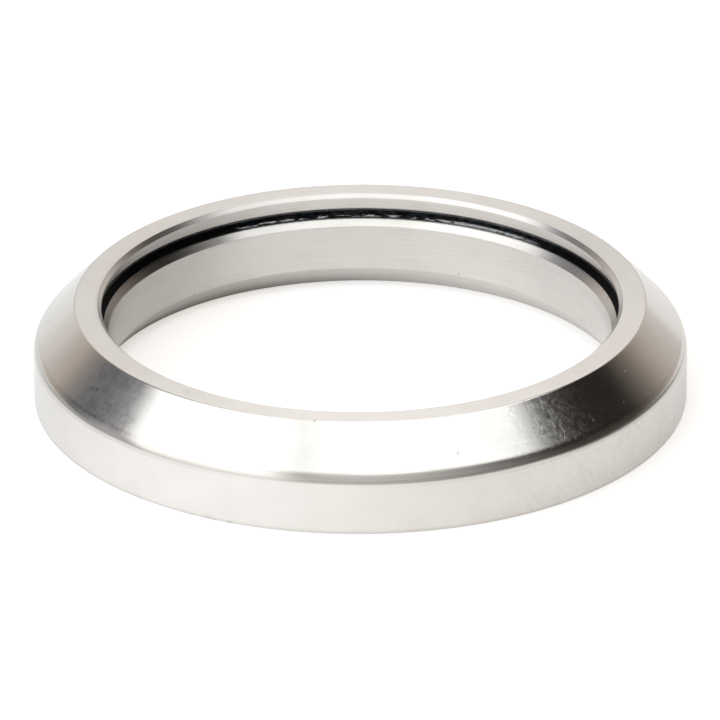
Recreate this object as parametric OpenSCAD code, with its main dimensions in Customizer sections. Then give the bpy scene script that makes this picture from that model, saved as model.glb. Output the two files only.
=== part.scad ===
// Angular contact headset bearing: two hardened rings, one row of balls in a
// snap cage, and a rubber seal on each side. The outer ring rests on its flat
// bottom, and the origin is on the bearing's axis at that bottom.

/* [Overall size] */
// Diameter of the hole through the inner ring
bore_d = 40; // [36:0.5:46]
// Radial width, from the bore to the outside wall
ring_w = 6; // [5.8:0.1:6.4]
// Overall height
height = 8; // [7.9:0.05:8.6]

/* [Outer ring] */
// Angle of the outside seat, from the axis
outer_seat_angle = 44; // [40:1:48]
// Width of the top face, up to the corner of the outside seat
top_face_w = 1.8; // [1.5:0.02:2]
// Round between the top face and the outside seat
top_round = 0.3; // [0.1:0.05:0.5]
// Round where the outside seat runs into the outside wall
seat_round = 1.6; // [0.4:0.1:1.8]
// Round at the bottom edge
bottom_round = 0.08; // [0.05:0.01:0.3]
// How far the lip stands outside the bore
lip_overhang = 0.56; // [0.4:0.02:0.7]
// Chamfer at the inside edge of the top face
lip_chamfer = 0.32; // [0.1:0.01:0.4]
// Depth of the straight lip below the top face
lip_depth = 0.6; // [0.45:0.05:0.8]
// How far the wall below the lip stands back from it
wall_step = 0.44; // [0.2:0.02:0.6]
// Chamfer at the inside edge of the bottom face
mouth_chamfer = 0.2; // [0.1:0.05:0.3]

/* [Inner ring] */
// How far the inner ring's top lies below the outer ring's top
inner_drop = 2; // [1.8:0.05:2.1]
// Chamfer between the bore and the inner ring's top
bore_chamfer = 0.6; // [0.3:0.05:0.65]
// Angle of the inside seat, from the axis
inner_seat_angle = 36; // [30:1:42]
// Height of the inside seat
inner_seat_h = 1.69; // [1.2:0.01:1.9]
// Chamfer on the inner ring's outside edges
ring_edge = 0.12; // [0.05:0.01:0.2]

/* [Balls and races] */
// Ball diameter
ball_d = 3.175; // [2.975:0.025:3.225]
// Number of balls
ball_count = 32; // [24:1:34]
// How far the ball centres lie below half the height
row_drop = 0.4; // [0.3:0.02:0.5]
// How far the ball circle lies inside the middle of the two rings
row_inset = 0.1; // [0:0.01:0.15]
// Contact angle, from the radial plane
contact_angle = 45; // [36:1:50]
// Radius of the race groove as a share of the ball diameter
race_share = 0.52; // [0.515:0.001:0.525]
// Gap between ball and race on the contact line
race_play = 0.04; // [0.03:0.005:0.045]
// How far each race runs past the ball centres on its loaded side
loaded_reach = 0.45; // [0.3:0.05:0.6]
// Step that keeps the balls in on the unloaded side
low_lip = 0.03; // [0.02:0.005:0.03]

/* [Cage] */
// Gap between ball and cage pocket
pocket_play = 0.08; // [0.05:0.01:0.1]
// Gap between cage and rings
cage_play = 0.14; // [0.1:0.01:0.16]
// How far the fingers reach past the ball centres
finger_reach = 0.6; // [0.5:0.05:0.7]

/* [Seals] */
// Thickness of a seal's rim
seal_t = 0.5; // [0.4:0.02:0.54]
// Depth of the groove that holds a seal's rim
seal_grip = 0.32; // [0.25:0.01:0.36]
// Height of the lower seal above the bottom
lower_seal_z = 0.45; // [0.35:0.01:0.45]
// Gap between seal and inner ring
lip_play = 0.05; // [0.04:0.01:0.08]
// How far the upper seal's lip reaches over the bore chamfer
lip_reach = 0.21; // [0.1:0.01:0.25]
// Slack of a seal's rim in its groove
rim_slack = 0.02; // [0.01:0.01:0.04]
// Length of the upper seal's grease lip below its rim
grease_lip_h = 0.45; // [0.3:0.05:0.5]
// Thickness of the upper seal's grease lip
grease_lip_t = 0.3; // [0.2:0.02:0.35]

/* [Hidden] */
function ball_name(i) = str(i < 10 ? "ball_0" : "ball_", i);
$fn = 128;

bore_r = bore_d / 2;
outer_r = bore_r + ring_w;
ball_r = ball_d / 2;
ball_row_z = height / 2 - row_drop;
pitch_r = (bore_r + outer_r) / 2 - row_inset;

// Outer ring, seen in section
lip_r = bore_r + lip_overhang;
top_inner_r = lip_r + lip_chamfer;
top_outer_r = top_inner_r + top_face_w;
seat_corner_z = height - (outer_r - top_outer_r) / tan(outer_seat_angle);
wall_r = lip_r + wall_step;

// Inner ring, seen in section
inner_top_z = height - inner_drop;
inner_seat_r = bore_r + inner_seat_h * tan(inner_seat_angle);

// Races: each groove is shifted along the contact line, so that the ball
// comes nearest to it there
race_r = race_share * ball_d;
race_shift = race_r - ball_r - race_play;
shift_r = race_shift * cos(contact_angle);
shift_z = race_shift * sin(contact_angle);
outer_race = [pitch_r - shift_r, ball_row_z - shift_z];
inner_race = [pitch_r + shift_r, ball_row_z + shift_z];
outer_land_r = pitch_r - loaded_reach;
inner_land_r = pitch_r + loaded_reach;
outer_low_r = outer_race[0] + race_r - low_lip;
inner_low_r = inner_race[0] - race_r + low_lip;

// Seal grooves
upper_seal_z = inner_top_z + lip_play;
upper_groove_r = outer_land_r + seal_grip;
lower_groove_r = outer_low_r + seal_grip;
groove_h = seal_t + rim_slack;

// Cage
finger_r = ball_r - (cage_play - race_play);
pocket_r = ball_r + pocket_play;
cage_inner_r = inner_land_r + cage_play;
cage_outer_r = outer_low_r - cage_play;
cage_bottom_z = lower_seal_z + seal_t + 2 * cage_play;

function unit(v) = v / norm(v);

// What a round of radius r takes away at a corner, where a and b are the
// neighbouring points of the outline
module corner_waste(a, corner, b, r) {
    to_a = unit(a - corner);
    to_b = unit(b - corner);
    half = acos(to_a * to_b) / 2;
    run = r / tan(half);
    centre = corner + unit(to_a + to_b) * r / sin(half);
    difference() {
        polygon([corner, corner + to_a * run, centre, corner + to_b * run]);
        translate(centre)
            circle(r);
    }
}

module outer_outline() {
    bottom_outer = [outer_r, 0];
    seat_corner = [outer_r, seat_corner_z];
    top_outer = [top_outer_r, height];
    mouth_r = outer_low_r + mouth_chamfer;
    difference() {
        polygon([
            bottom_outer,
            seat_corner,
            top_outer,
            [top_inner_r, height],
            [lip_r, height - lip_chamfer],
            [lip_r, height - lip_depth],
            [wall_r, height - lip_depth],
            [wall_r, upper_seal_z + groove_h],
            [upper_groove_r, upper_seal_z + groove_h],
            [upper_groove_r, upper_seal_z],
            [outer_land_r, upper_seal_z],
            [outer_land_r, outer_race[1]],
            [outer_low_r, outer_race[1]],
            [outer_low_r, lower_seal_z + groove_h],
            [lower_groove_r, lower_seal_z + groove_h],
            [lower_groove_r, lower_seal_z],
            [outer_low_r, lower_seal_z],
            [outer_low_r, mouth_chamfer],
            [mouth_r, 0]
        ]);
        translate(outer_race)
            circle(race_r);
        corner_waste(bottom_outer, seat_corner, top_outer, seat_round);
        corner_waste(seat_corner, top_outer, [top_inner_r, height], top_round);
        corner_waste([mouth_r, 0], bottom_outer, seat_corner, bottom_round);
    }
}

module outer_ring() {
    color("silver")
    rotate_extrude()
    outer_outline();
}

module inner_outline() {
    difference() {
        polygon([
            [bore_r, inner_seat_h],
            [bore_r, inner_top_z - bore_chamfer],
            [bore_r + bore_chamfer, inner_top_z],
            [inner_low_r - ring_edge, inner_top_z],
            [inner_low_r, inner_top_z - ring_edge],
            [inner_low_r, inner_race[1]],
            [inner_land_r, inner_race[1]],
            [inner_land_r, ring_edge],
            [inner_land_r - ring_edge, 0],
            [inner_seat_r, 0]
        ]);
        translate(inner_race)
            circle(race_r);
    }
}

module inner_ring() {
    color("gainsboro")
    rotate_extrude()
    inner_outline();
}

// One side of the cage: the rim below the balls and the fingers between them,
// which follow the races
module cage_outline() {
    intersection() {
        union() {
            translate([pitch_r, ball_row_z])
                circle(finger_r);
            translate([cage_inner_r, cage_bottom_z])
                square([ball_d, ball_row_z - cage_bottom_z]);
        }
        translate([cage_outer_r - 2 * ball_d, cage_bottom_z])
            square([2 * ball_d, ball_row_z + finger_reach - cage_bottom_z]);
    }
}

module at_ball(i) {
    rotate([0, 0, 360 * (i - 1) / ball_count])
    translate([pitch_r, 0, ball_row_z])
        children();
}

module ball_cage() {
    color("ivory")
    difference() {
        rotate_extrude()
        cage_outline();
        for (i = [1 : ball_count])
            at_ball(i)
            sphere(pocket_r);
    }
}

module ball(i) {
    color("lightsteelblue")
    at_ball(i)
    sphere(ball_r);
}

// Rim in the outer ring's groove, a lip that tapers and reaches over the bore
// chamfer, and a grease lip that hangs beside the inner ring
module upper_seal() {
    rim_r = upper_groove_r - rim_slack;
    rim_top = upper_seal_z + seal_t;
    wipe_r = bore_r + bore_chamfer - lip_reach;
    grease_r = inner_low_r + 2 * lip_play;
    color("dimgray")
    rotate_extrude()
    polygon([
        [rim_r, upper_seal_z],
        [rim_r, rim_top],
        [wall_r, rim_top],
        [wipe_r, upper_seal_z],
        [grease_r, upper_seal_z],
        [grease_r, upper_seal_z - grease_lip_h],
        [grease_r + grease_lip_t, upper_seal_z - grease_lip_h],
        [grease_r + 1.5 * grease_lip_t, upper_seal_z]
    ]);
}

// Rim in the outer ring's groove and a lip that runs against the inner ring's
// lower land
module lower_seal() {
    rim_r = lower_groove_r - rim_slack;
    rim_top = lower_seal_z + seal_t;
    wipe_r = inner_land_r + lip_play;
    color("dimgray")
    rotate_extrude()
    polygon([
        [rim_r, lower_seal_z],
        [rim_r, rim_top],
        [wipe_r + seal_t / 2, rim_top],
        [wipe_r, lower_seal_z + seal_t / 2],
        [wipe_r, lower_seal_z]
    ]);
}

outer_ring();
inner_ring();
ball_cage();
upper_seal();
lower_seal();
for (i = [1 : ball_count])
    ball(i);
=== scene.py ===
# Looks of a headset bearing: two turned steel rings, a greasy rubber seal on
# each side, and the balls and cage between them. Lengths are in metres, or in
# millimetres where a note says so.
import math

import bpy
import numpy as np
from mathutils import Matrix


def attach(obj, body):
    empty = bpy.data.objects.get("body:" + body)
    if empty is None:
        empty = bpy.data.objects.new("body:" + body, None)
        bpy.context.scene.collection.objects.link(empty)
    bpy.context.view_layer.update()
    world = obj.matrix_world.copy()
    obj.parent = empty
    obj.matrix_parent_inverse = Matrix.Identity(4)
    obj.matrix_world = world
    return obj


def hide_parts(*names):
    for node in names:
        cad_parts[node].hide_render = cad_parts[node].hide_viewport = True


mm = 0.001

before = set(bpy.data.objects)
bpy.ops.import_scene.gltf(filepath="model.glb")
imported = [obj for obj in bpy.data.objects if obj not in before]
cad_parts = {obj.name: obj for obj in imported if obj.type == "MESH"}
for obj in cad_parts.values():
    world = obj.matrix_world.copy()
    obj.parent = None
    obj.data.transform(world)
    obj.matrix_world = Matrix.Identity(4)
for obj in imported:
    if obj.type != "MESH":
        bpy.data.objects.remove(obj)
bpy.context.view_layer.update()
ballNames = sorted(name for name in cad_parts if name.startswith("ball_") and name[5:].isdigit())
print("frame loaded,", len(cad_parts), "nodes")


# Node trees

# A socket that arithmetic can be written with
class Wire:
    def __init__(self, tree, socket):
        self.tree = tree
        self.socket = socket

    def math(self, operation, *others):
        return make(self.tree, "ShaderNodeMath", [self, *others], {"operation": operation})

    def flipped(self, operation, other):
        return make(self.tree, "ShaderNodeMath", [other, self], {"operation": operation})

    def __add__(self, other):
        return self.math("ADD", other)

    def __radd__(self, other):
        return self.flipped("ADD", other)

    def __sub__(self, other):
        return self.math("SUBTRACT", other)

    def __rsub__(self, other):
        return self.flipped("SUBTRACT", other)

    def __mul__(self, other):
        return self.math("MULTIPLY", other)

    def __rmul__(self, other):
        return self.flipped("MULTIPLY", other)

    def __truediv__(self, other):
        return self.math("DIVIDE", other)

    def __rtruediv__(self, other):
        return self.flipped("DIVIDE", other)

    def __neg__(self):
        return self.math("MULTIPLY", -1.0)

    # 0 below low, 1 above high, with a soft run between them
    def step(self, low, high):
        names = {"Value": self, "From Min": low, "From Max": high}
        return make(self.tree, "ShaderNodeMapRange", names, {"interpolation_type": "SMOOTHSTEP"})

    # 1 between two values and 0 beyond them, each side with its own soft run
    def between(self, low, lowEnd, high, highEnd):
        return self.step(low, lowEnd) * (1.0 - self.step(high, highEnd))

    # 1 within core of a value and 0 beyond reach of it
    def closeTo(self, value, core, reach):
        return 1.0 - (self - value).math("ABSOLUTE").step(core, reach)

    def clamped(self):
        return make(self.tree, "ShaderNodeClamp", [self])


# Adds a node, fills its inputs by place or by name, and returns one output
def make(tree, kind, inputs=(), settings=None, output=0):
    node = tree.nodes.new(kind)
    for name, value in (settings or {}).items():
        setattr(node, name, value)
    pairs = inputs.items() if isinstance(inputs, dict) else enumerate(inputs)
    for key, value in pairs:
        socket = node.inputs[key]
        if isinstance(value, Wire):
            tree.links.new(value.socket, socket)
        else:
            socket.default_value = value
    return Wire(tree, node.outputs[output]) if node.outputs else None


# A Mix node has its colours at inputs 6 and 7 and at output 2
def mixed(share, first, second):
    settings = {"data_type": "RGBA", "clamp_factor": True}
    inputs = {0: share, 6: first, 7: second}
    return make(share.tree, "ShaderNodeMix", inputs, settings, output=2)


def blended(share, first, second):
    return make(share.tree, "ShaderNodeMix", {0: share, 2: first, 3: second}, {"data_type": "FLOAT"})


def vector(tree, x, y, z):
    return make(tree, "ShaderNodeCombineXYZ", [x, y, z])


def parts(wire):
    node = make(wire.tree, "ShaderNodeSeparateXYZ", [wire]).socket.node
    return [Wire(wire.tree, socket) for socket in node.outputs]


def noise(place, scale, detail=2.0, roughness=0.5, w=None):
    inputs = {"Vector": place, "Scale": scale, "Detail": detail, "Roughness": roughness}
    if w is None:
        return make(place.tree, "ShaderNodeTexNoise", inputs, {"noise_dimensions": "3D"})
    return make(place.tree, "ShaderNodeTexNoise", {**inputs, "W": w}, {"noise_dimensions": "4D"})


def newMaterial(name):
    material = bpy.data.materials.new(name)
    material.use_nodes = True
    material.node_tree.nodes.clear()
    return material, material.node_tree


def objectPlace(tree):
    return make(tree, "ShaderNodeTexCoord", output=3)


# 1 where the camera looks straight at a surface, 0 in what the steel mirrors
def seenDirectly(tree):
    return make(tree, "ShaderNodeLightPath", output=0)


def finishMaterial(tree, inputs):
    surface = make(tree, "ShaderNodeBsdfPrincipled", inputs)
    make(tree, "ShaderNodeOutputMaterial", {"Surface": surface})


# Distance from the axis, direction round it and height, in millimetres
def aroundAxis(tree):
    x, y, z = parts(objectPlace(tree))
    radius = (x * x + y * y).math("SQRT")
    away = vector(tree, x / radius, y / radius, 0.0)
    return radius * 1000.0, away, z * 1000.0, (x * 1000.0, y * 1000.0)


# Turned shapes

# Rounds of the edges, in millimetres
crisp = 0.02
plain = 0.03
eased = 0.05


# One corner of an outline, rounded by a small radius
def corner(r, z, soft=plain):
    return {"at": np.array([r, z]), "soft": soft}


# A hollow arc that the outline runs along, from one angle to another in degrees
def hollow(centre, radius, start, end, count=16):
    angles = np.radians(np.linspace(start, end, count))
    return [
        {"at": np.array([centre[0] + radius * math.cos(a), centre[1] + radius * math.sin(a)]),
         "normal": -np.array([math.cos(a), math.sin(a)])}
        for a in angles
    ]


def unit(v):
    return v / np.linalg.norm(v)


# The outline's points with the direction that the surface faces at each.
# The outline runs with the metal on its left.
def softened(outline, steps=6):
    points = []
    for i, item in enumerate(outline):
        if "normal" in item:
            points.append((item["at"], item["normal"]))
            continue
        here = item["at"]
        toBack = unit(outline[i - 1]["at"] - here)
        toNext = unit(outline[(i + 1) % len(outline)]["at"] - here)
        before = np.array([-toBack[1], toBack[0]])
        after = np.array([toNext[1], -toNext[0]])
        half = math.acos(max(-1.0, min(1.0, float(toBack @ toNext)))) / 2
        centre = here + unit(toBack + toNext) * item["soft"] / math.sin(half)
        bulge = 1.0 if float((here - centre) @ (before + after)) > 0 else -1.0
        turn = math.atan2(before[0] * after[1] - before[1] * after[0], float(before @ after))
        for k in range(steps + 1):
            a = turn * k / steps
            way = np.array([
                before[0] * math.cos(a) - before[1] * math.sin(a),
                before[0] * math.sin(a) + before[1] * math.cos(a),
            ])
            points.append((centre + way * bulge * item["soft"], way))
    return points


# Turns an outline given in millimetres round the axis
def revolved(name, outline, around=720):
    profile = softened(outline)
    count = len(profile)
    turns = np.linspace(0, 2 * math.pi, around, endpoint=False)
    cosines, sines = np.cos(turns), np.sin(turns)
    at = np.array([place for place, way in profile]) * mm
    facing = np.array([way for place, way in profile])
    places = np.stack([
        np.outer(cosines, at[:, 0]), np.outer(sines, at[:, 0]), np.tile(at[:, 1], (around, 1))
    ], axis=2).reshape(-1, 3)
    normals = np.stack([
        np.outer(cosines, facing[:, 0]), np.outer(sines, facing[:, 0]), np.tile(facing[:, 1], (around, 1))
    ], axis=2).reshape(-1, 3)
    faces = []
    for i in range(around):
        j = (i + 1) % around
        for k in range(count):
            m = (k + 1) % count
            faces.append((i * count + k, j * count + k, j * count + m, i * count + m))
    mesh = bpy.data.meshes.new(name)
    mesh.from_pydata(places.tolist(), [], faces)
    mesh.shade_smooth()
    mesh.normals_split_custom_set_from_vertices(normals.tolist())
    mesh.update()
    piece = bpy.data.objects.new(name, mesh)
    bpy.context.scene.collection.objects.link(piece)
    return piece


# Sizes shared by the turned pieces, in millimetres, the same as the solids have
ring = {
    "bore": 20.0, "outside": 26.0, "height": 8.0,
    "ball": 3.175, "pitch": 22.9, "ballHeight": 3.6, "raceRadius": 1.651, "raceShift": 0.0166,
}

outerShape = {
    "topOuter": 22.68, "topRound": 0.3, "topInner": 20.88, "lip": 20.56, "lipChamfer": 0.32,
    "lipDepth": 0.6, "wall": 21.0, "seatCorner": 4.562, "seatRound": 1.6, "bottomRound": 0.08,
    "land": 22.45, "low": 24.504, "mouthChamfer": 0.2,
    "upperGroove": (6.05, 6.57, 22.77), "lowerGroove": (0.45, 0.97, 24.824),
}


def buildOuterRing(shape):
    race = (ring["pitch"] - ring["raceShift"], ring["ballHeight"] - ring["raceShift"])
    high = math.degrees(math.acos((shape["land"] - race[0]) / ring["raceRadius"]))
    low = -math.degrees(math.acos((shape["low"] - race[0]) / ring["raceRadius"]))
    upperFloor, upperRoof, upperWall = shape["upperGroove"]
    lowerFloor, lowerRoof, lowerWall = shape["lowerGroove"]
    outline = [
        corner(shape["low"] + shape["mouthChamfer"], 0.0, eased),
        corner(ring["outside"], 0.0, shape["bottomRound"]),
        corner(ring["outside"], shape["seatCorner"], shape["seatRound"]),
        corner(shape["topOuter"], ring["height"], shape["topRound"]),
        corner(shape["topInner"], ring["height"]),
        corner(shape["lip"], ring["height"] - shape["lipChamfer"]),
        corner(shape["lip"], ring["height"] - shape["lipDepth"]),
        corner(shape["wall"], ring["height"] - shape["lipDepth"]),
        corner(shape["wall"], upperRoof, crisp),
        corner(upperWall, upperRoof, eased),
        corner(upperWall, upperFloor, eased),
        corner(shape["land"], upperFloor),
        *hollow(race, ring["raceRadius"], high, low),
        corner(shape["low"], lowerRoof),
        corner(lowerWall, lowerRoof, eased),
        corner(lowerWall, lowerFloor, eased),
        corner(shape["low"], lowerFloor),
        corner(shape["low"], shape["mouthChamfer"]),
    ]
    return revolved("outerRing", outline)


innerShape = {
    "top": 6.0, "boreChamfer": 0.6, "seatHeight": 1.69, "seatRadius": 21.228, "edge": 0.12,
    "landReach": 0.45, "lowStep": 0.03,
}


def buildInnerRing(shape):
    race = (ring["pitch"] + ring["raceShift"], ring["ballHeight"] + ring["raceShift"])
    low = race[0] - ring["raceRadius"] + shape["lowStep"]
    land = ring["pitch"] + shape["landReach"]
    start = 180 - math.degrees(math.acos((race[0] - low) / ring["raceRadius"]))
    end = 360 - math.degrees(math.acos((land - race[0]) / ring["raceRadius"]))
    top, edge = shape["top"], shape["edge"]
    outline = [
        corner(shape["seatRadius"], 0.0, eased),
        corner(land - edge, 0.0, crisp),
        corner(land, edge, crisp),
        *reversed(hollow(race, ring["raceRadius"], start, end)),
        corner(low, top - edge, crisp),
        corner(low - edge, top, crisp),
        corner(ring["bore"] + shape["boreChamfer"], top),
        corner(ring["bore"], top - shape["boreChamfer"], eased),
        corner(ring["bore"], shape["seatHeight"], eased),
    ]
    return revolved("innerRing", outline)


upperSealShape = {
    "lip": 20.395, "rim": 22.75, "slope": 21.0, "floor": 6.052, "top": 6.55,
    "greaseLip": 21.396, "greaseLow": 5.6, "greaseTip": 0.3, "greaseRoot": 0.45, "lipRound": 0.01,
}


def buildUpperSeal(shape):
    floor, top, inner, low = shape["floor"], shape["top"], shape["greaseLip"], shape["greaseLow"]
    outline = [
        corner(shape["lip"], floor, shape["lipRound"]),
        corner(inner, floor),
        corner(inner, low, eased),
        corner(inner + shape["greaseTip"], low, eased),
        corner(inner + shape["greaseRoot"], floor),
        corner(shape["rim"], floor),
        corner(shape["rim"], top),
        corner(shape["slope"], top, eased),
    ]
    return revolved("upperSeal", outline, 360)


lowerSealShape = {"lip": 23.4, "rim": 24.8, "floor": 0.45, "top": 0.95, "slope": 0.25}


def buildLowerSeal(shape):
    floor, top = shape["floor"], shape["top"]
    outline = [
        corner(shape["lip"], floor),
        corner(shape["rim"], floor),
        corner(shape["rim"], top),
        corner(shape["lip"] + shape["slope"], top),
        corner(shape["lip"], top - shape["slope"]),
    ]
    return revolved("lowerSeal", outline, 360)


# Materials

# The cone and the outside are ground, the rest is turned. Each mark is the
# angle from the front, radius, height and size of a dark spot, and how strong
# it is. Nicks are given in the same way: small rough spots that catch light.
# A pattern's stretch is where it starts, is full, starts to fade and ends, as
# millimetres of height or along the seat, from the front to the right.
outerSteel = {
    "base": (0.71, 0.68, 0.648, 1.0),
    "dull": (0.66, 0.625, 0.592, 1.0),
    "grimeAndShade": (0.10, 0.085, 0.07, 1.0),
    "turned": 0.33,  # roughness of turned faces
    "ground": 0.14,  # roughness of the ground outside
    "bevel": 0.29,  # roughness of the chamfer at the hole
    "bevelRadius": 20.9,
    "bevelHeight": 7.67,
    "brushed": 0.8,  # how far highlights stretch across the lines
    "fine": 9.0,  # turning lines in a millimetre
    "lineDepth": 0.5,
    "streakDepth": 0.2,
    "clouds": 1.6,  # from here to chamferShadeLevel, how strong each pattern and each painted shade is
    "lines": 1.5,
    "chatter": 2.6,
    "haze": 0.32,
    "mottle": 0.26,
    "topShade": 0.13,
    "scratches": 0.12,
    "band": 0.15,
    "smear": 0.25,
    "filletLines": 0.16,
    "footShade": 0.2,
    "sealShadow": 0.5,
    "wallDarkLeft": 0.45,
    "wallLines": 0.07,
    "boreShadeLevel": 0.27,
    "chamferShadeLevel": 0.66,
    "bandPlace": -4.45,  # from here on, places in millimetres
    "seatStart": (4.4, 5.0),
    "chatterEnd": (3.9, 4.6),
    "filletStretch": (3.88, 4.02, 5.0, 5.2),
    "wornLeft": (-28.0, -23.5, -19.5, -17.5),
    "wornRight": (11.0, 13.0, 18.0, 26.0),
    "smeared": (-28.0, -25.0, -21.5, -19.0),
    "scratchedLeft": (-24.0, -22.0, -19.5, -18.0),
    "scratchedRight": (11.0, 13.0, 15.0, 18.5),
    "hairlines": [(62.0, 1.5, 0.0), (108.0, 1.1, 7.0), (84.0, 1.9, 15.0)],
    "nicks": [
        (61.0, 23.7, 6.97, 0.1, 0.7),
        (55.2, 25.0, 5.6, 0.09, 0.22),
        (46.1, 25.05, 5.5, 0.1, 0.3),
        (46.2, 24.95, 5.62, 0.08, 0.2),
        (45.9, 24.83, 5.76, 0.08, 0.2),
        (46.0, 24.7, 5.9, 0.08, 0.2),
    ],
    "marks": [
        (-57.8, 24.34, 6.28, 0.24, 0.5),
        (-59.0, 24.45, 6.2, 0.16, 0.3),
        (-9.0, 22.68, 8.0, 0.14, 0.45),
        (17.5, 24.84, 5.77, 0.16, 0.4),
        (-38.2, 21.8, 8.0, 0.55, 0.09),
        (-27.0, 26.0, -0.2, 0.9, 0.1),
        (-23.0, 26.0, 0.0, 0.3, 0.2),
    ],
}
innerSteel = {
    **outerSteel,
    "turned": 0.36,
    "ground": 0.36,
    "bevel": 0.3,
    "bevelRadius": 20.7,
    "bevelHeight": 5.38,
    "lines": 5.0,
    "marks": [
        (222.2, 20.0, 1.72, 0.12, 0.3),
        (156.2, 20.0, 1.85, 0.12, 0.35),
    ],
}


seatMiddle = 24.0  # radius at which a length along the seat's arc is true


# Lines left by turning: long round the ring, fine across it
def turnedLines(tree, radius, away, height, fine, turns=2.0):
    ax, ay = parts(away)[:2]
    place = vector(tree, ax * turns, ay * turns, radius * fine)
    return noise(place, 1.0, 3.0, 0.6, w=height * fine)


# Streaks across the turning lines, left where the tool chattered
def crossStreaks(tree, radius, away, height, many=26.0):
    ax, ay = parts(away)[:2]
    place = vector(tree, ax * many, ay * many, radius * 0.12)
    return noise(place, 1.0, 3.0, 0.65, w=height * 0.12)


# Short straight scratches from handling, on two stretches of the conical seat.
# Each set has its slant in degrees, how dense it is, and a number that makes
# it differ from the others.
def handled(tree, look, arc, height):
    upSeat = 1.4  # length along the seat for each millimetre of height
    total = None
    for slant, dense, seed in look["hairlines"]:
        c = math.cos(math.radians(slant))
        k = math.sin(math.radians(slant))
        along = (arc * c + height * (k * upSeat)) * 0.35
        aside = (height * (c * upSeat) - arc * k) * 3.5
        hair = noise(vector(tree, along, aside, seed), dense, 2.0, 0.5).step(0.64, 0.72)
        total = hair if total is None else total + hair
    stretches = arc.between(*look["scratchedRight"]) + arc.between(*look["scratchedLeft"])
    return (total * stretches).clamped()


# Spots at given places, 0 away from them
def spots(x, y, height, marks):
    total = None
    for turn, radius, level, size, strength in marks:
        a = math.radians(turn)
        dx = x - radius * math.sin(a)
        dy = y + radius * math.cos(a)
        dz = height - level
        reach = (dx * dx + dy * dy + dz * dz).math("SQRT")
        spot = (1.0 - reach.step(size * 0.4, size)) * strength
        total = spot if total is None else total + spot
    return total.clamped()


# Where a point lies on the rings, and the patterns that several finishes share
def steelPlace(tree, look):
    radius, away, height, (x, y) = aroundAxis(tree)
    ax, ay = parts(away)[:2]
    arc = x.math("ARCTAN2", -y) * seatMiddle
    place = vector(tree, x, y, height)
    tool = noise(vector(tree, ax * 0.6, ay * 0.6, height * 9.0), 1.0, 3.0, 0.7)
    outside = radius.step(outerShape["topOuter"] - 0.1, outerShape["topOuter"] - 0.02)
    return {
        "x": x, "y": y, "ax": ax, "ay": ay, "radius": radius, "height": height, "arc": arc,
        "place": place,
        "lines": turnedLines(tree, radius, away, height, look["fine"]),
        "streaks": crossStreaks(tree, radius, away, height),
        "cloud": noise(place, 0.35, 3.0, 0.55),
        "tool": tool.step(0.5, 0.62),
        "outside": outside,
        "seat": outside * height.step(*look["seatStart"]),
        "wornLeft": arc.between(*look["wornLeft"]),
        "wornRight": arc.between(*look["wornRight"]),
    }


# Cloudy wear, the turning lines, and chatter on the right of the outside wall
def steelWear(tree, look, at):
    height, slant = at["height"], at["height"] * 0.5
    chatter = noise(vector(tree, at["x"] + slant, at["y"] + slant, height * 0.4), 2.8, 2.0, 0.5) - 0.5
    onWall = at["outside"] * (1.0 - height.step(*look["chatterEnd"]))
    chatter = chatter * onWall * at["ax"].step(0.3, 0.6) * look["chatter"]
    lines = (at["lines"] - 0.5) * look["lines"] * (1.0 - at["outside"] * 0.8)
    return (at["cloud"] - 0.35) * look["clouds"] + lines + chatter


# The wall inside the outer ring's lip: painted shade beside the seal, tool lines above, darker at the left
# below the lip's chamfer
def wallShadeAndMarks(look, at):
    height, wall, sealTop = at["height"], outerShape["wall"], upperSealShape["top"]
    chamferFoot = ring["height"] - outerShape["lipChamfer"]
    inside = (1.0 - at["radius"].step(wall + 0.05, wall + 0.15)) * height.step(sealTop - 0.05, sealTop)
    # painted shade in the crease just above the seal
    shadeBesideSeal = (1.0 - height.step(sealTop + 0.01, sealTop + 0.15)) * look["sealShadow"]
    grooves = (height.closeTo(7.2, 0.03, 0.1) + at["tool"]) * look["wallLines"]
    # darker at the left, below the lip's chamfer
    darkLeft = (1.0 - at["ax"].step(-0.8, -0.2)) * (1.0 - height.step(chamferFoot - 0.04, chamferFoot + 0.02))
    return inside * (shadeBesideSeal + grooves + darkLeft * look["wallDarkLeft"])


# Painted shade: darker steel at the left of the bore and of the chamfer above it, where they mirror a
# darker surround
def boreShade(look, at):
    leftward, radius, height = -at["ax"], at["radius"], at["height"]
    bore, chamfer, top = ring["bore"], innerShape["boreChamfer"], innerShape["top"]
    inBore = 1.0 - radius.step(bore + 0.02, bore + 0.08)
    onChamfer = radius.between(bore + 0.02, bore + 0.08, bore + chamfer - 0.02, bore + chamfer + 0.02)
    onChamfer = onChamfer * height.between(top - 0.8, top - 0.7, top + 0.2, top + 0.3)
    # painted shade, darker towards the left
    darkLeft = leftward.step(0.35, 0.72) * (1.0 - leftward.step(0.84, 0.98) * 0.55)
    darkLeft = darkLeft * (0.6 + height.step(2.2, 4.8) * 0.4) * inBore * look["boreShadeLevel"]
    return darkLeft + onChamfer * leftward.step(0.45, 0.58) * look["chamferShadeLevel"]


# Painted shade along the outside wall's foot at the floor and on the top face away from the camera
def footAndTopShade(look, at):
    # painted shade where the foot meets the floor
    foot = at["outside"] * (1.0 - at["height"].step(0.02, 0.36)) * look["footShade"]
    onTop = at["height"].step(ring["height"] - 0.1, ring["height"] - 0.03)
    # painted shade: the top face darker towards the back and the sides
    topShade = at["y"].step(-22.0, 22.0) + at["ax"].math("ABSOLUTE").step(0.6, 1.0) * 0.7
    return foot + topShade * onTop * look["topShade"]


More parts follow.
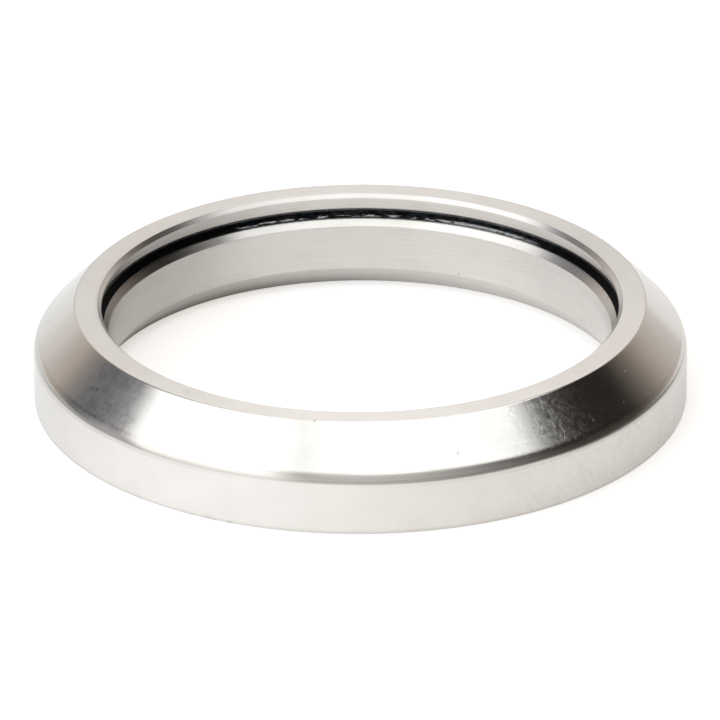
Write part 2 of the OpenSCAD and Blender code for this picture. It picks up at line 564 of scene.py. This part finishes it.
# Marks on the conical seat and on the round below it: a darker stripe at the front, mottled wear, tool
# lines and a smear
def seatMarks(look, at):
    height, outside = at["height"], at["outside"]
    # a darker stripe at the front of the seat
    band = at["x"].closeTo(look["bandPlace"], 0.0, 2.2) * (-at["ay"]).step(0.0, 0.5)
    mottle = noise(at["place"], 0.9, 5.0, 0.68).step(0.42, 0.68) * at["wornLeft"]
    onSeat = (band * look["band"] + mottle * look["mottle"]) * at["seat"]
    lines = height.between(*look["filletStretch"]) * at["tool"] * look["filletLines"]
    smear = height.closeTo(4.95, 0.03, 0.16) * at["streaks"].step(0.3, 0.6)
    smear = smear * at["arc"].between(*look["smeared"]) * look["smear"]
    return onSeat + (lines + smear) * outside


def steelRoughness(tree, look, at):
    bevel = 1.0 - at["radius"].step(look["bevelRadius"], look["bevelRadius"] + 0.02)
    bevel = bevel * at["height"].step(look["bevelHeight"], look["bevelHeight"] + 0.02)
    finish = blended(at["outside"], look["turned"], look["ground"])
    finish = blended(bevel, finish, look["bevel"])
    haze = (noise(at["place"], 2.6, 5.0, 0.72) - 0.42) * look["haze"]
    haze = haze * (at["wornLeft"] + at["wornRight"]) * at["seat"]
    scratched = handled(tree, look, at["arc"], at["height"]) * look["scratches"] * at["seat"]
    scratched = scratched + spots(at["x"], at["y"], at["height"], look["nicks"])
    return finish + (at["cloud"] - 0.5) * 0.06 + (at["lines"] - 0.5) * 0.05 + haze + scratched


def turnedSteel(name, look):
    material, tree = newMaterial(name)
    at = steelPlace(tree, look)
    colour = mixed(steelWear(tree, look, at), look["base"], look["dull"])
    # dark spots and stains, with painted shade beside the seal, in the bore, at the foot and on the top
    # face
    dirtAndShade = spots(at["x"], at["y"], at["height"], look["marks"])
    dirtAndShade = dirtAndShade + wallShadeAndMarks(look, at) + boreShade(look, at) + footAndTopShade(look, at) + seatMarks(look, at)
    across = make(tree, "ShaderNodeBump", {
        "Strength": look["streakDepth"], "Distance": 2e-5, "Height": at["streaks"]})
    normal = make(tree, "ShaderNodeBump", {
        "Strength": look["lineDepth"], "Distance": 2e-6, "Height": at["lines"], "Normal": across})
    finishMaterial(tree, {
        "Base Color": mixed(dirtAndShade, colour, look["grimeAndShade"]), "Metallic": 1.0,
        "Roughness": steelRoughness(tree, look, at), "Normal": normal,
        "Anisotropic": look["brushed"], "Anisotropic Rotation": 0.25})
    return material


rubberLook = {
    "base": (0.0004, 0.0004, 0.0005, 1.0),
    "dustAndSheen": (0.022, 0.023, 0.025, 1.0),
    "roughness": 0.42,
    "grease": (0.22, 0.225, 0.23, 1.0),
    "greaseRoughness": 0.2,
    "lipRadius": 20.5,
    "rimRadius": 20.97,
    "greaseStart": (6.06, 6.09),
}


# Black rubber, with a broken line of grease where its lip wipes the inner ring
def greasyRubber(name, look):
    material, tree = newMaterial(name)
    radius, away, height, (x, y) = aroundAxis(tree)
    ax, ay = parts(away)[:2]
    film = noise(vector(tree, x, y, height * 2.0), 1.7, 4.0, 0.65)
    # lighter from the middle to the right: dust, with painted sheen
    dustAndSheen = film.step(0.35, 0.75) * (ax.step(-0.6, 0.0) - ax.step(0.55, 0.8) * 0.8)
    colour = mixed(dustAndSheen, look["base"], look["dustAndSheen"])
    normal = make(tree, "ShaderNodeBump", {"Strength": 0.6, "Distance": 1.5e-4, "Height": film})
    rubber = make(tree, "ShaderNodeBsdfPrincipled", {
        "Base Color": colour, "Roughness": look["roughness"], "Normal": normal, "Specular IOR Level": 0.03})
    ripple = noise(vector(tree, x * 1.2, y * 1.2, radius * 4.0), 1.0, 3.0, 0.6)
    wet = make(tree, "ShaderNodeBump", {"Strength": 0.8, "Distance": 1.2e-4, "Height": ripple})
    grease = make(tree, "ShaderNodeBsdfPrincipled", {
        "Base Color": look["grease"], "Metallic": 1.0, "Roughness": look["greaseRoughness"], "Normal": wet})
    drift = (noise(vector(tree, ax * 9.0, ay * 9.0, 0.0), 1.0, 2.0, 0.5) - 0.5) * 0.12
    plenty = ax.step(0.2, 0.45)
    line = (radius - look["lipRadius"] - drift).math("ABSOLUTE") - plenty * 0.04
    line = 1.0 - line.step(0.04, 0.11)
    broken = noise(vector(tree, ax * 22.0, ay * 22.0, radius * 5.0), 1.0, 3.0, 0.65)
    pieces = (broken + plenty * 0.16).step(0.5, 0.62) * ay.step(0.68, 0.8) * ax.step(-0.56, -0.45)
    rim = radius.step(look["rimRadius"] - 0.1, look["rimRadius"]) * 0.5 * ay.step(-0.2, 0.6)
    share = (line * pieces + rim) * height.step(*look["greaseStart"])
    skin = make(tree, "ShaderNodeMixShader", [share, rubber, grease])
    make(tree, "ShaderNodeOutputMaterial", {"Surface": skin})
    return material


cageLook = {"dark": (0.66, 0.62, 0.50, 1.0), "light": (0.74, 0.71, 0.60, 1.0), "roughness": 0.45}


def cageNylon(name, look):
    material, tree = newMaterial(name)
    cloud = noise(objectPlace(tree), 900.0, 3.0, 0.5)
    colour = mixed(cloud, look["dark"], look["light"])
    normal = make(tree, "ShaderNodeBump", {"Strength": 0.2, "Distance": 1e-5, "Height": cloud})
    finishMaterial(tree, {
        "Base Color": colour, "Roughness": look["roughness"] + cloud * 0.1, "Normal": normal})
    return material


ballFinish = {"dark": (0.74, 0.75, 0.76, 1.0), "light": (0.80, 0.80, 0.80, 1.0), "roughness": 0.06}


def ballSteel(name, look):
    material, tree = newMaterial(name)
    cloud = noise(objectPlace(tree), 1200.0, 2.0, 0.5)
    colour = mixed(cloud, look["dark"], look["light"])
    finishMaterial(tree, {
        "Base Color": colour, "Metallic": 1.0, "Roughness": look["roughness"] + cloud * 0.04})
    return material


# Rings and seals with their finishes

# Gives a piece its finish, the body it moves with and the nodes it stands for
def dress(piece, material, body, slot, *nodes):
    piece.data.materials.clear()
    piece.data.materials.append(material)
    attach(piece, body)
    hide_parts(*nodes)


outerRing = buildOuterRing(outerShape)
dress(outerRing, turnedSteel("outerSteel", outerSteel), "outer_ring", "ring_steel", "outer_ring")
innerRing = buildInnerRing(innerShape)
dress(innerRing, turnedSteel("innerSteel", innerSteel), "inner_ring", "ring_steel", "inner_ring")
rubber = greasyRubber("greasyRubber", rubberLook)
upperSeal = buildUpperSeal(upperSealShape)
dress(upperSeal, rubber, "outer_ring", "seal_rubber", "upper_seal")
lowerSeal = buildLowerSeal(lowerSealShape)
dress(lowerSeal, rubber, "outer_ring", "seal_rubber", "lower_seal")
print("rings and seals built")


# Balls, one object each, because each spins on its own axis
ballMesh = {"segments": 48, "rings": 24}


def ballTree(counts):
    tree = bpy.data.node_groups.new("ball", "GeometryNodeTree")
    tree.interface.new_socket("Geometry", in_out="INPUT", socket_type="NodeSocketGeometry")
    place = tree.interface.new_socket("Place", in_out="INPUT", socket_type="NodeSocketVector")
    radius = tree.interface.new_socket("Radius", in_out="INPUT", socket_type="NodeSocketFloat")
    finish = tree.interface.new_socket("Finish", in_out="INPUT", socket_type="NodeSocketMaterial")
    tree.interface.new_socket("Geometry", in_out="OUTPUT", socket_type="NodeSocketGeometry")
    given = tree.nodes.new("NodeGroupInput")
    wires = {socket.name: Wire(tree, socket) for socket in given.outputs}
    sphere = make(tree, "GeometryNodeMeshUVSphere", {
        "Segments": counts["segments"], "Rings": counts["rings"], "Radius": wires["Radius"]})
    moved = make(tree, "GeometryNodeTransform", {"Geometry": sphere, "Translation": wires["Place"]})
    smooth = make(tree, "GeometryNodeSetShadeSmooth", {"Geometry": moved})
    real = make(tree, "GeometryNodeRealizeInstances", [smooth])
    coated = make(tree, "GeometryNodeSetMaterial", {"Geometry": real, "Material": wires["Finish"]})
    make(tree, "NodeGroupOutput", [coated])
    return tree, {"place": place.identifier, "radius": radius.identifier, "finish": finish.identifier}


# Runs a node tree on an empty mesh and keeps the plain mesh that it makes
def grown(name, tree, values):
    seed = bpy.data.objects.new(name, bpy.data.meshes.new(name))
    bpy.context.scene.collection.objects.link(seed)
    modifier = seed.modifiers.new("grow", "NODES")
    modifier.node_group = tree
    for key, value in values.items():
        modifier[key] = value
    bpy.context.view_layer.update()
    whole = seed.evaluated_get(bpy.context.evaluated_depsgraph_get())
    mesh = bpy.data.meshes.new_from_object(whole)
    mesh.name = name
    seed.modifiers.clear()
    seed.data = mesh
    return seed


chrome = ballSteel("ballSteel", ballFinish)
tree, keys = ballTree(ballMesh)
for number, name in enumerate(ballNames):
    angle = 2 * math.pi * number / len(ballNames)
    pitch = ring["pitch"] * mm
    place = (pitch * math.cos(angle), pitch * math.sin(angle), ring["ballHeight"] * mm)
    ball = grown("steelBall" + name[5:], tree, {
        keys["place"]: place, keys["radius"]: ring["ball"] / 2 * mm, keys["finish"]: chrome})
    dress(ball, chrome, name, "ball_steel", name)
print("balls built")

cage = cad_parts["ball_cage"]
cage.data.materials.clear()
cage.data.materials.append(cageNylon("cageNylon", cageLook))
print("cage dressed")


# Studio: a pale floor, a soft panel overhead, a bright window at the left of
# the camera, a wall behind the ring and a dark room at its right
studio = {
    "panel": (1.66, 1.72, 1.74, 1.0),
    "panelBack": (0.15, 0.5),
    "panelSides": (-1.47, -1.07, 0.83, 0.97),
    "fringe": (0.7, 0.69, 0.68, 1.0),
    "fringeSides": (0.1, 0.5, 0.6, 1.3),
    "wall": (0.855, 0.84, 0.82, 1.0),
    "wallLeft": (1.22, 1.2, 1.18, 1.0),
    "wallRight": (1.95, 1.93, 1.9, 1.0),
    "corner": (0.49, 0.43, 0.38, 1.0),
    "right": (0.022, 0.019, 0.017, 1.0),
    "rightLow": (0.065, 0.056, 0.047, 1.0),
    "left": (0.185, 0.195, 0.21, 1.0),
    "leftNear": (0.52, 0.53, 0.55, 1.0),
    "window": (1.7, 1.72, 1.74, 1.0),
    "windowLow": (1.38, 1.38, 1.37, 1.0),
    "near": (0.68, 0.67, 0.655, 1.0),
    "nearHigh": (0.85, 0.845, 0.83, 1.0),
    "seen": (1.0, 1.0, 1.0, 1.0),
    "floorHalf": 3.0,
    "floor": (0.65, 0.65, 0.648, 1.0),
    "floorFar": (0.1, 0.1, 0.1, 1.0),
    "glowSeen": 0.5,
    "glowLeft": 0.67,
    "glowRight": 0.34,
    "glowBackLeft": 0.32,
    "glowBackRight": 0.265,
    "glowHoleLeft": 0.2,
    "glowHoleRight": 0.39,
    "glowFarLeft": 0.62,
    "glowFarRight": 0.02,
    "warmHole": 0.06,
    "warmLeft": -0.02,
    "warmRight": 0.045,
    "holeEdge": (0.0214, 0.023),
}


# The walls by direction: x is to the right, z is up, and az is the angle from
# the camera's side to the right, in degrees
def roomWalls(look, x, z, az):
    turn = az.math("ABSOLUTE")
    rightward = az.step(-5.0, 5.0)
    near = mixed(z.step(0.55, 0.75), look["near"], look["nearHigh"])
    right = mixed(z.step(0.2, 0.5), look["rightLow"], look["right"])
    right = mixed(az.step(0.0, 82.0), near, right)
    left = mixed(turn.step(95.0, 116.0), look["leftNear"], look["left"])
    window = mixed(z.step(0.15, 0.5), look["windowLow"], look["window"])
    left = mixed((turn - (z - 0.25) * 30.0).step(80.0, 92.0), window, left)
    left = mixed((turn - (z - 0.3) * 12.0).step(17.0, 38.0), near, left)
    room = mixed(rightward, left, right)

    bend = turn + (0.3 - z) * 24.0
    room = mixed(bend.step(115.0 - rightward * 6.0, 137.0 + rightward * 7.0), room, look["corner"])
    wall = mixed(x.step(-0.3, 0.3), look["wallLeft"], look["wallRight"])
    wall = mixed(z.step(0.2, 0.7), look["wall"], wall)
    return mixed(blended(rightward, bend.step(125.0, 159.0), bend.step(125.0, 175.0)), room, wall)


# The panel overhead by place on the ceiling, with a dim fringe before it
def ceilingPanel(look, room, across, along):
    front = (across - 0.2).math("MAXIMUM", 0.0) * 0.7 - across.step(-0.2, 0.1) * 0.12 - 0.67
    behindFront = along - front
    panel = behindFront.step(-0.06, 0.06) * (1.0 - along.step(*look["panelBack"]))
    panel = panel * across.between(*look["panelSides"])
    fringe = behindFront.between(-0.3, -0.05, 0.0, 0.1) * across.between(*look["fringeSides"])
    return mixed(panel, mixed(fringe, room, look["fringe"]), look["panel"])


def buildWorld(look):
    world = bpy.data.worlds.new("studio")
    bpy.context.scene.world = world
    world.use_nodes = True
    tree = world.node_tree
    tree.nodes.clear()
    x, y, z = parts(make(tree, "ShaderNodeTexCoord", output=0))  # direction that is looked in
    az = x.math("ARCTAN2", -y) * (180 / math.pi)
    lift = z.math("MAXIMUM", 0.02)
    room = ceilingPanel(look, roomWalls(look, x, z, az), x / lift, y / lift)
    seen = seenDirectly(tree)
    light = make(tree, "ShaderNodeBackground", {"Color": mixed(seen, room, look["seen"])})
    make(tree, "ShaderNodeOutputWorld", {"Surface": light})


# Glow of the paper near the ring, outside it and in the hole: painted light and painted shadow. Places on
# the paper are in metres.
def glowNear(look, x, y, apart):
    front = blended(x.step(-0.018, 0.026), look["glowLeft"], look["glowRight"])
    back = blended(x.step(-0.016, 0.016), look["glowBackLeft"], look["glowBackRight"])
    glow = blended(y.step(-0.024, 0.004), front, back)
    # painted shade: the glow dims at the sides in front and a little at the left
    glow = glow * (1.0 - x.math("ABSOLUTE").step(0.028, 0.06) * (1.0 - y.step(-0.01, 0.004)) * 0.6)
    glow = glow * (1.0 - (-x).step(0.016, 0.034) * 0.14)
    hole = blended(x.step(-0.013, -0.002), look["glowHoleLeft"], look["glowHoleRight"])
    # painted shadow: the hole's glow dims towards the ring's foot
    rim = blended(x.step(-0.01, 0.014), 1.25, 0.4)
    hole = hole * (1.25 - rim * apart.step(0.0193, 0.0214))
    return blended(apart.step(*look["holeEdge"]), hole, glow)


# How far the paper has fallen off to the dark, and how much glow is left there
def fallOff(look, x, y, apart):
    beside, behind = x / apart, y / apart
    window = (1.0 - beside.step(-0.6, -0.25)) * (1.0 - behind.step(-0.35, -0.05))
    sideways = beside.math("ABSOLUTE").step(0.75, 0.95)
    far = blended(sideways, apart.step(0.056, 0.104), apart.step(0.033, 0.052))
    far = far * (1.0 - behind.step(0.2, 0.6)) * (1.0 - window * 0.85)
    farGlow = blended(x.step(-0.03, 0.08), look["glowFarLeft"], look["glowFarRight"])
    return far, farGlow * (1.0 - sideways * 0.4)


def paperMaterial(look):
    material, tree = newMaterial("floorPaper")
    x, y = parts(objectPlace(tree))[:2]
    apart = (x * x + y * y).math("SQRT")
    far, farGlow = fallOff(look, x, y, apart)
    seen = seenDirectly(tree)
    glow = blended(seen, blended(far, glowNear(look, x, y, apart), farGlow), look["glowSeen"])
    warmHole = blended(x.step(-0.013, -0.002), look["warmHole"], 0.0)
    warmRound = blended(x.step(-0.02, 0.026), look["warmLeft"], look["warmRight"])
    warmth = blended(apart.step(*look["holeEdge"]), warmHole, warmRound)
    finishMaterial(tree, {
        "Base Color": mixed(far * (1.0 - seen), look["floor"], look["floorFar"]),
        "Roughness": 0.9, "Specular IOR Level": 0.0,
        "Emission Color": vector(tree, glow * (1.0 + warmth), glow, glow * (1.0 - warmth)),
        "Emission Strength": 1.0})
    return material


# The camera sees plain white paper. The steel mirrors paper with painted light: a glow brighter at the
# left, painted shadow at the ring's foot, and dark away from the ring.
def buildFloor(look):
    mesh = bpy.data.meshes.new("floor")
    half = look["floorHalf"]
    places = [(-half, -half, 0), (half, -half, 0), (half, half, 0), (-half, half, 0)]
    mesh.from_pydata(places, [], [(0, 1, 2, 3)])
    mesh.materials.append(paperMaterial(look))
    floor = bpy.data.objects.new("floor", mesh)
    bpy.context.scene.collection.objects.link(floor)


# The camera looks at a point on the axis, which lies at centreX and centreY in
# the picture. The scale is in pixels for each millimetre there.
shot = {
    "distance": 0.665, "elevation": 24.94, "roll": -0.27, "lookAt": 0.0035,
    "scale": 12.5555, "centreX": 360.27, "centreY": 350.76, "pixels": 720,
}


def buildCamera(look):
    camera = bpy.data.cameras.new("camera")
    holder = bpy.data.objects.new("camera", camera)
    bpy.context.scene.collection.objects.link(holder)
    lift, roll = math.radians(look["elevation"]), math.radians(look["roll"])
    distance = look["distance"]
    holder.location = (0, -distance * math.cos(lift), look["lookAt"] + distance * math.sin(lift))
    holder.rotation_euler = (math.pi / 2 - lift, 0, 0)
    holder.rotation_euler.rotate_axis("Z", roll)
    focalPixels = look["scale"] * distance / mm
    camera.sensor_width = 36
    camera.lens = camera.sensor_width * focalPixels / look["pixels"]
    camera.shift_x = -(look["centreX"] - look["pixels"] / 2) / look["pixels"]
    camera.shift_y = (look["centreY"] - look["pixels"] / 2) / look["pixels"]
    camera.clip_start = 0.05
    camera.clip_end = 20
    bpy.context.scene.camera = holder


buildWorld(studio)
buildFloor(studio)
buildCamera(shot)
bpy.context.scene.view_settings.view_transform = "Standard"
print("studio built")
